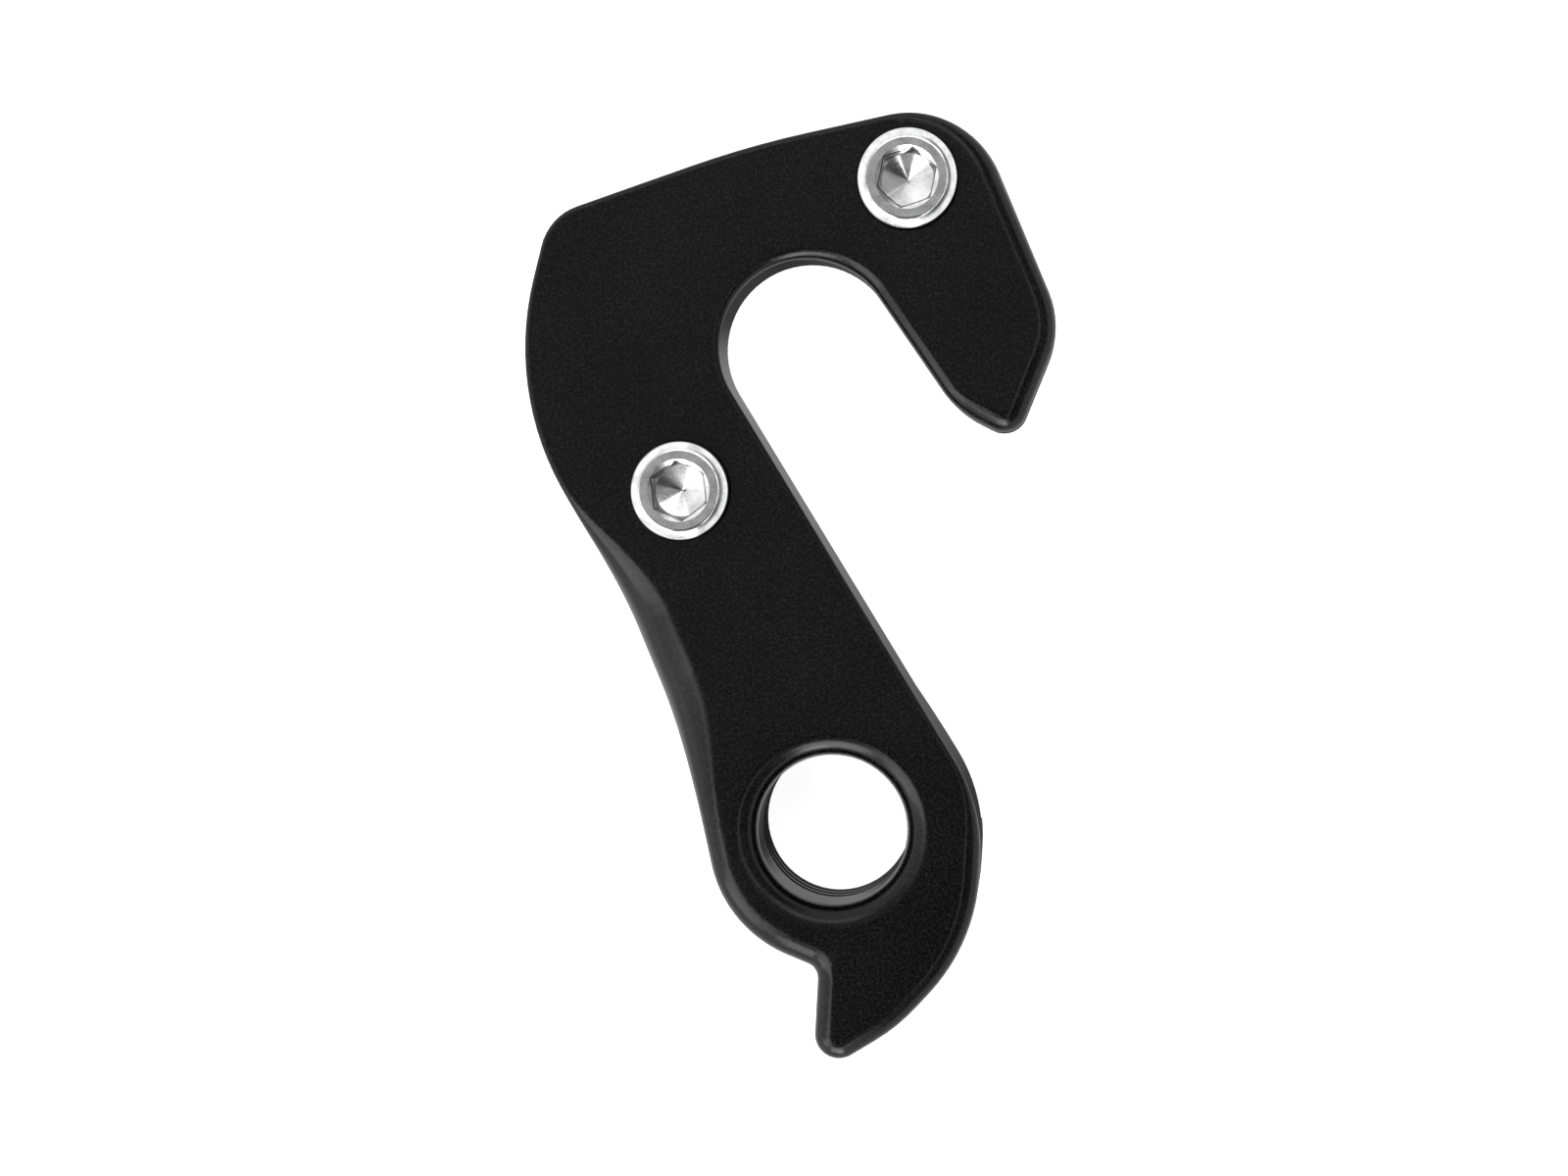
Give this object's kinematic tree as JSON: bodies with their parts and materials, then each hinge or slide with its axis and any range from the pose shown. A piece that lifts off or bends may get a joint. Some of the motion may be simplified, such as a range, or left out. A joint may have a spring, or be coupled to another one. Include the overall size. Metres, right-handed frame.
{
  "type": "bicycle derailleur hanger",
  "caption": "Black anodised derailleur hanger with an open axle slot, a threaded derailleur bore, a stop finger and two socket screws",
  "frame": {"origin": "on the axis of the threaded derailleur bore, in the rear face of the boss", "axes": "+Z is the bore's axis and points outwards, away from the wheel; +Y runs up the part towards the axle slot, and +X to the hook's side, as the part is seen from outside"},
  "size_m": [0.0318, 0.0567, 0.009],
  "materials": {
    "black_anodised": "bead blasted and black anodised, satin",
    "bright_steel": "polished bright plated steel"
  },
  "bodies": {
    "root": {"hanger": "black_anodised", "mounting_screw_upper": "bright_steel", "mounting_screw_lower": "bright_steel"}
  },
  "joints": []
}
